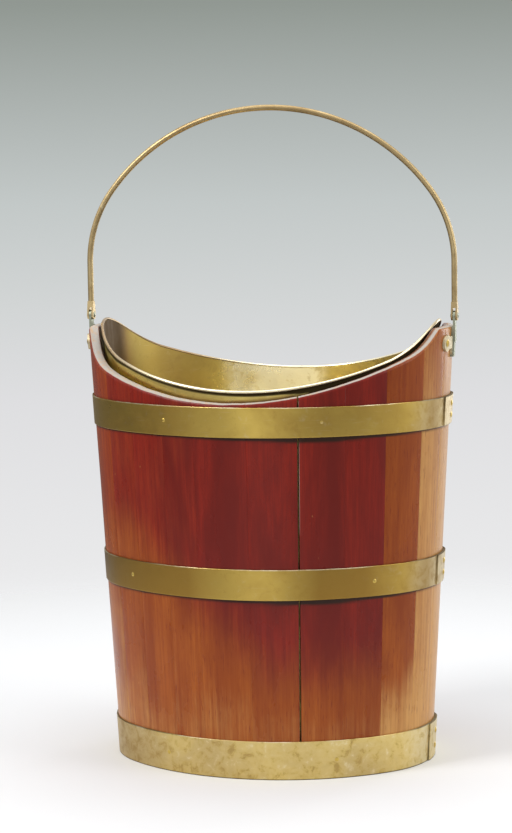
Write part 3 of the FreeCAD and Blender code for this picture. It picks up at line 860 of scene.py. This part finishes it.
class PEAT_OT_bail(bpy.types.Operator):
    """Build the bent rod and its forked ends"""
    bl_idname = "peat.bail"
    bl_label = "Bail handle"

    def execute(self, context):
        bail = context.scene.peat_bail
        finish = finish_of(context)
        material = brass("bail_brass_rod", finish.bail_dark, finish.bail, finish.hoop_pale,
                         stain=0.6, mottle=0.35, rough=0.36)[0]
        sheet = Sheet()
        self.rod(bail, sheet)
        for side in (-1, 1):
            self.fork(bail, sheet, side)
        piece = sheet.build("bail_rod_and_forks", material, 30.0)
        dress(piece, "bail", "bail_handle")
        return {"FINISHED"}

    def route(self, bail):
        """Points of the rod's centre line: leg, shoulder, crown, shoulder, leg."""
        rise = bail.rise - bail.leg
        spring = bail.pivot + bail.leg
        shoulder = bail.shoulder * bail.reach * rise / (bail.reach + rise)
        crown = (bail.reach ** 2 - 2 * bail.reach * shoulder + rise ** 2) / (2 * (rise - shoulder))
        seat = Vector((bail.reach - shoulder, 0, spring))
        crown_seat = Vector((0, 0, bail.pivot + bail.rise - crown))
        turn = math.atan2(spring - crown_seat.z, seat.x)
        start = bail.pivot + bail.slot_top + bail.rod
        right = [Vector((bail.reach, 0, start + (spring - start) * step / 6)) for step in range(6)]
        right += [seat + Vector((math.cos(turn * step / 24), 0, math.sin(turn * step / 24))) * shoulder
                  for step in range(24)]
        arch = []
        for step in range(81):
            angle = turn + (math.pi - 2 * turn) * step / 80
            arch.append(crown_seat + Vector((math.cos(angle), 0, math.sin(angle))) * crown)
        left = [Vector((-point.x, 0, point.z)) for point in reversed(right)]
        return right + arch + left

    def rod(self, bail, sheet):
        """Round rod along its route, darker towards the crown."""
        route = self.route(bail)
        across = Vector((0, 1, 0))
        columns = []
        for index, point in enumerate(route):
            ahead = route[min(index + 1, len(route) - 1)] - route[max(index - 1, 0)]
            ahead.normalize()
            radius = bail.rod * (1 - abs(wander(point, 35, 0.04, 3.0)))
            stain = 0.5 * smooth_step(bail.pivot + bail.patina, bail.pivot + bail.rise, point.z)
            columns.append(sheet.ring(point, across.cross(ahead), across, radius, ROD_SIDES, stain=stain))
        sheet.tube(columns)

    def fork(self, bail, sheet, side):
        """Two leaves that widen downwards, and the neck above their slot."""
        heights = [-bail.eye * math.cos(turn) for turn in corner_steps(8)][:-1] + [0]
        heights[0] = -bail.eye * 0.985
        heights += [bail.slot_top * step / 4 for step in range(1, 5)]
        heights += [bail.slot_top + (bail.fork_top - bail.slot_top) * step / 3 for step in range(1, 4)]
        levels = []
        for height in heights:
            along = max(0, height) / bail.fork_top
            half = (math.sqrt(bail.eye ** 2 - height ** 2) if height < 0
                    else bail.eye + (bail.rod - bail.eye) * along)
            outer = bail.slot_half + bail.leaf + (bail.rod - bail.slot_half - bail.leaf) * along
            xs = (-outer, -bail.slot_half, bail.slot_half, outer)
            levels.append([[sheet.add(Vector((side * bail.reach + x, y, bail.pivot + height)), stain=0.0)
                            for y in (-half, half)] for x in xs])
        top = len(heights) - 4
        for level, (low, high) in enumerate(zip(levels, levels[1:])):
            solid = level >= top
            for y in (0, 1):
                for cell in ((0, 1, 2) if solid else (0, 2)):
                    sheet.faces.append((low[cell][y], low[cell + 1][y], high[cell + 1][y], high[cell][y]))
            for x in ((0, 3) if solid else (0, 1, 2, 3)):
                sheet.faces.append((low[x][0], low[x][1], high[x][1], high[x][0]))
        for cell in (0, 2):
            low = levels[0]
            sheet.faces.append((low[cell][0], low[cell + 1][0], low[cell + 1][1], low[cell][1]))
        roof = levels[top]
        sheet.faces.append((roof[1][0], roof[2][0], roof[2][1], roof[1][1]))
        high = levels[-1]
        for cell in (0, 1, 2):
            sheet.faces.append((high[cell][0], high[cell + 1][0], high[cell + 1][1], high[cell][1]))


class PEAT_OT_liner(bpy.types.Operator):
    """Build the liner's wall and rolled rim, and finish its bottom"""
    bl_idname = "peat.liner"
    bl_label = "Liner"

    def execute(self, context):
        liner = context.scene.peat_liner
        body = context.scene.peat_body
        finish = finish_of(context)
        oval = Oval(body)
        material = brass("liner_brass_sheet", finish.liner_dark, finish.liner, finish.liner_pale,
                         stain=0.34, mottle=0.16, rough=0.27)[0]
        # The rolled rim is made of the pale brass, partly polish and partly painted highlight
        rolled = brass("liner_rim_brass", finish.liner_dark, finish.liner_pale, finish.liner_pale,
                       stain=0.2, mottle=0.3, rough=0.26)[0]
        face = -body.thickness - liner.gap
        dress(self.wall(liner, body, oval, face, material), "liner", "liner_wall")
        dress(self.roll(liner, body, oval, face, rolled), "liner", "liner_rolled_rim")
        paint("liner_bottom", material)
        return {"FINISHED"}

    def wall(self, liner, body, oval, face, material):
        """Beaten wall with its lapped seam, its stains, its paler places that are partly polish and partly
        painted highlight, and the painted shadow under its rolled rim.
        """
        sheet = Sheet()
        half_seam = liner.seam / 2 / oval.end_radius
        columns = []
        for angle in oval.walk(0, FULL_TURN, WALL_STEP)[:-1]:
            top = oval.liner_rim(body, liner, angle) - liner.roll * 0.5
            lap = liner.sheet * band(angle, LINER_SEAM, half_seam, half_seam + 0.012)
            stain = sum(strength * band(angle, *spot) for *spot, strength in LINER_STAINS)
            polish_and_highlight = max(band(angle, *spot) for spot in LINER_POLISH_AND_HIGHLIGHT)
            dirt_and_shade = 0.7 * band(angle, LINER_SEAM, 0.24, 0.42)
            across = oval.point(angle, 0, 0).x
            # Height of the painted shadow under the rolled rim, deeper on the right and at the left end
            shaded = (liner.shade + liner.right_shade * smooth_step(0.03, 0.10, across)
                      + liner.left_shade * smooth_step(-0.11, -0.15, across))
            column = []
            heights = [liner.foot + (top - 0.006 - liner.foot) * step / 46 for step in range(47)]
            heights += [top - drop for drop in (0.0045, 0.0037, 0.0030, 0.0022, 0.0012, 0)]
            for height in heights:
                outer = self.beaten(liner, oval, angle, face, height, liner.foot, top)
                # Outer face: painted shadow under the rolled rim
                grime = 0.95 * smooth_step(shaded + 0.0010, shaded, top - height)
                column.append(sheet.add(outer, stain=0.0, edge=0.0, grime=grime))
            for height in reversed(heights):
                inner = self.beaten(liner, oval, angle, face - liner.sheet - lap, height, liner.foot, top)
                # Inner face: dirt at the seam, and paler places that are partly polish and partly painted
                # highlight
                column.append(sheet.add(inner, stain=stain, edge=1.6 * polish_and_highlight, grime=dirt_and_shade))
            columns.append(column)
        sheet.grid(columns, closed_rows=True, closed_columns=True)
        return sheet.build("liner_wall_sheet", material, 50.0)

    def beaten(self, liner, oval, angle, offset, height, low, high):
        """Point on the hand-beaten sheet, true at its two edges."""
        point = oval.point(angle, offset, height)
        ease = max(0, min(1, (height - low) / 0.03, (high - height) / 0.03))
        amount = wander(point, 16, liner.wander, 2.0) + wander(point, 45, liner.wander * 0.35, 8.0)
        away = Vector(((angle - liner.dent_turn) * oval.arc(angle)[1], height - liner.dent_height))
        amount += liner.dent * math.exp(-away.length_squared / liner.dent_size ** 2)
        return point + oval.out(angle) * amount * ease

    def roll(self, liner, body, oval, face, material):
        """Rolled rim, dull at the seam and at the right end."""
        sheet = Sheet()
        columns = []
        for angle in oval.walk(0, FULL_TURN, ROLL_STEP)[:-1]:
            seat = oval.point(angle, face - liner.sheet + liner.roll, oval.liner_rim(body, liner, angle))
            radius = liner.roll * (1 - abs(wander(seat, 60, 0.12, 4.0)))
            stain = (0.78 * band(angle, 3.00, 0.80, 1.40)
                     + 0.4 * smooth_step(0.9, 0.3, min(angle, FULL_TURN - angle)))
            columns.append(sheet.ring(seat, oval.out(angle), UP, radius, ROLL_SIDES, stain=min(1, stain)))
        sheet.grid(columns, closed_rows=True, closed_columns=True)
        return sheet.build("liner_rim_roll", material)


class PEAT_OT_stage(bpy.types.Operator):
    """Set up the floor, the studio, the lights and the camera"""
    bl_idname = "peat.stage"
    bl_label = "Stage"

    def execute(self, context):
        stage = context.scene.peat_stage
        self.floor(stage)
        self.studio(context, stage)
        self.camera(context, stage)
        for lamp in LAMPS:
            self.lamp(*lamp)
        context.scene.view_settings.view_transform = "Standard"
        return {"FINISHED"}

    def floor(self, stage):
        """Pale disc under the bucket that fades out into the studio."""
        sheet = Sheet()
        rings = [0.05, 0.4, 0.8, 1.2]
        columns = [[sheet.add(Vector((radius * math.cos(FULL_TURN * k / 64),
                                      radius * math.sin(FULL_TURN * k / 64), 0))) for radius in rings]
                   for k in range(64)]
        sheet.grid(columns, closed_columns=True)
        sheet.faces.append(tuple(column[0] for column in columns))
        material, tree, shader = new_material("pale_floor", Roughness=0.9, Specular_IOR_Level=0.1)
        shader.inputs["Base Color"].default_value = (*stage.floor, 1)
        where = node(tree, "ShaderNodeTexCoord").outputs["Object"]
        radius = node(tree, "ShaderNodeVectorMath", {0: where}, operation="LENGTH").outputs["Value"]
        tree.links.new(spread(tree, radius, 1.15, 0.45), shader.inputs["Alpha"])
        sheet.build("pale_floor", material)

    def studio(self, context, stage):
        """Backdrop that darkens upwards, brass reflections with a light and a dark side, and soft fill."""
        world = bpy.data.worlds.new("studio")
        world.use_nodes = True
        tree = world.node_tree
        tree.nodes.clear()
        way = node(tree, "ShaderNodeTexCoord").outputs["Generated"]
        height = node(tree, "ShaderNodeSeparateXYZ", {"Vector": way}).outputs["Z"]
        ramp = node(tree, "ShaderNodeValToRGB", {"Fac": spread_evenly(tree, height, -0.30, 0.10)})
        for element, (_, level) in zip(ramp.color_ramp.elements, (BACKDROP[0], BACKDROP[-1])):
            element.color = (*level, 1)
        for position, level in BACKDROP[1:-1]:
            ramp.color_ramp.elements.new(position).color = (*level, 1)

        def facing(direction, low, high, to_low, to_high):
            """Level that changes as the way turns to a direction."""
            aim = node(tree, "ShaderNodeVectorMath", {0: way, 1: direction}, operation="DOT_PRODUCT")
            return spread(tree, aim.outputs["Value"], low, high, to_low, to_high)

        # Dark flag on the left, dimmer studio behind the camera, and a window low in front
        left = facing((-0.94, 0.34, 0.0), 0.10, 0.75, 1.0, 0.16)
        front = facing((0.26, -0.966, -0.10), 0.25, 0.85, 1.0, 0.46)
        across = node(tree, "ShaderNodeVectorMath", {0: way, 1: (0.999, -0.035, 0.0)},
                      operation="DOT_PRODUCT").outputs["Value"]
        window = maths(tree, "MULTIPLY", facing((0.0, -1.0, 0.0), 0.3, 0.5, 0.0, 0.85),
                       spread(tree, maths(tree, "ABSOLUTE", across, 0.0), 0.30, 0.17))
        window = maths(tree, "MULTIPLY", window, spread(tree, height, -0.34, -0.24))
        left = maths(tree, "MAXIMUM", left, spread(tree, height, -0.03, 0.07))
        level = maths(tree, "ADD", maths(tree, "MULTIPLY", left, front), window, True)
        reflected = mixed(tree, level, stage.shade, stage.bright)
        rays = node(tree, "ShaderNodeLightPath").outputs
        seen = mixed(tree, rays["Is Camera Ray"], reflected, ramp.outputs["Color"])
        backdrop = node(tree, "ShaderNodeBackground", {"Color": seen, "Strength": 1.0})
        fill = node(tree, "ShaderNodeBackground", {"Color": (*stage.fill, 1), "Strength": 0.5})
        shown = maths(tree, "ADD", rays["Is Camera Ray"],
                      maths(tree, "ADD", rays["Is Glossy Ray"], rays["Is Transmission Ray"]), True)
        both = node(tree, "ShaderNodeMixShader", {0: shown, 1: fill.outputs[0], 2: backdrop.outputs[0]})
        node(tree, "ShaderNodeOutputWorld", {"Surface": both.outputs[0]})
        context.scene.world = world

    def camera(self, context, stage):
        """Camera at its place, turned to its aim and tilted a little."""
        data = bpy.data.cameras.new("camera")
        data.sensor_fit = "VERTICAL"
        data.sensor_height = 36.0
        data.lens = stage.lens
        camera = bpy.data.objects.new("camera", data)
        look = Vector(stage.aim) - Vector(stage.camera)
        turn = look.to_track_quat("-Z", "Y").to_matrix() @ Euler((0, 0, -stage.roll)).to_matrix()
        camera.matrix_world = Matrix.Translation(stage.camera) @ turn.to_4x4()
        context.scene.collection.objects.link(camera)
        context.scene.camera = camera

    def lamp(self, name, where, aim, width, height, power):
        """Soft lamp that the camera doesn't see."""
        data = bpy.data.lights.new(name, "AREA")
        data.shape = "RECTANGLE"
        data.size = width
        data.size_y = height
        data.energy = power
        lamp = bpy.data.objects.new(name, data)
        lamp.visible_camera = False
        look = Vector(aim) - Vector(where)
        lamp.matrix_world = Matrix.Translation(where) @ look.to_track_quat("-Z", "Y").to_matrix().to_4x4()
        bpy.context.scene.collection.objects.link(lamp)


OPERATORS = (PEAT_OT_staves, PEAT_OT_bottom, PEAT_OT_hoops, PEAT_OT_fasteners, PEAT_OT_brackets,
             PEAT_OT_bail, PEAT_OT_liner, PEAT_OT_stage)


class PEAT_PT_panel(bpy.types.Panel):
    """Pieces of the peat bucket"""
    bl_idname = "PEAT_PT_panel"
    bl_label = "Peat Bucket"
    bl_space_type = "VIEW_3D"
    bl_region_type = "UI"
    bl_category = "Peat Bucket"

    def draw(self, context):
        for operator in OPERATORS:
            self.layout.operator(operator.bl_idname)
        for name, group in GROUPS.items():
            box = self.layout.box()
            box.label(text=group.__doc__)
            for prop in group.__annotations__:
                box.prop(getattr(context.scene, name), prop)


def register():
    """Add the classes, and the values to the scene."""
    for item in (*GROUPS.values(), *OPERATORS, PEAT_PT_panel):
        bpy.utils.register_class(item)
    for name, group in GROUPS.items():
        setattr(bpy.types.Scene, name, PointerProperty(type=group))


def unregister():
    """Take the values and the classes away."""
    for name in GROUPS:
        delattr(bpy.types.Scene, name)
    for item in (PEAT_PT_panel, *reversed(OPERATORS), *reversed(GROUPS.values())):
        bpy.utils.unregister_class(item)


def main():
    """Build the bucket."""
    register()
    bpy.ops.peat.stage()
    bpy.ops.peat.staves()
    bpy.ops.peat.bottom()
    bpy.ops.peat.hoops()
    bpy.ops.peat.fasteners()
    bpy.ops.peat.brackets()
    bpy.ops.peat.bail()
    bpy.ops.peat.liner()


if __name__ == "__main__":
    main()
